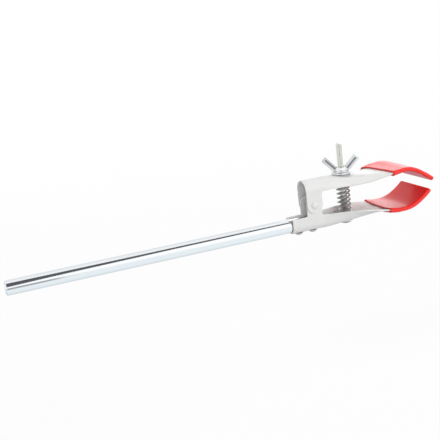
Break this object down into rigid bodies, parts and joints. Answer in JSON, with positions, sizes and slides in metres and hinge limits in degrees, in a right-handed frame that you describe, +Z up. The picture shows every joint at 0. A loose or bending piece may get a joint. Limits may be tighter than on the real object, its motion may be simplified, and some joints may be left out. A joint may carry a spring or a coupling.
{
  "type": "two-jaw laboratory extension clamp",
  "caption": "Laboratory stand clamp: a plain rod carries two pressed sheet arms on one pivot, with soft-sleeved curved jaws drawn together by a wing nut against a spring.",
  "frame": {"origin": "on the rod axis, at the rod's shoulder just behind the lower arm's channel, where the free rod ends", "axes": "+X from the rod to the jaws, +Z up along the clamp screw, -Y the side that the picture shows"},
  "size_m": [0.309, 0.0398, 0.0602],
  "materials": {
    "rod_steel": "bright plated",
    "arm_paint": "satin light grey enamel",
    "sleeve_vinyl": "smooth red vinyl",
    "rivet_paint": "satin light grey enamel",
    "rivet_steel": "plain",
    "screw_steel": "yellowish zinc plating",
    "spring_steel": "dark wire",
    "nut_plating": "bright plated"
  },
  "bodies": {
    "clamp_base": {"support_rod": "rod_steel", "lower_jaw": "arm_paint", "lower_jaw_sleeve": "sleeve_vinyl", "pivot_rivet": "rivet_paint", "rod_rivets": "rivet_steel", "clamp_screw": "screw_steel", "spring": "spring_steel"},
    "upper_arm": {"upper_jaw": "arm_paint", "upper_jaw_sleeve": "sleeve_vinyl"},
    "washer_body": {"washer": "nut_plating"},
    "nut_body": {"wing_nut": "nut_plating"}
  },
  "joints": [
    {"name": "jaw_pivot", "type": "hinge", "parent": "clamp_base", "child": "upper_arm", "pos_m": [0.018, 0, 0.013], "axis": [0, -1, 0], "range_deg": [-2.5, 12], "deforming": ["spring"]},
    {"name": "nut_travel", "type": "slide", "parent": "clamp_base", "child": "washer_body", "axis": [0, 0, 1], "range_m": [-0.0012, 0.0057]},
    {"name": "wing_nut_spin", "type": "hinge", "parent": "washer_body", "child": "nut_body", "pos_m": [0.0445, 0, 0.032], "axis": [0, 0, 1], "range_deg": [-530, 2510]}
  ],
  "couplings": [
    {"joint": "nut_travel", "follows": "jaw_pivot", "m_per_rad": 0.0265},
    {"joint": "wing_nut_spin", "follows": "jaw_pivot", "ratio": 208.13}
  ]
}
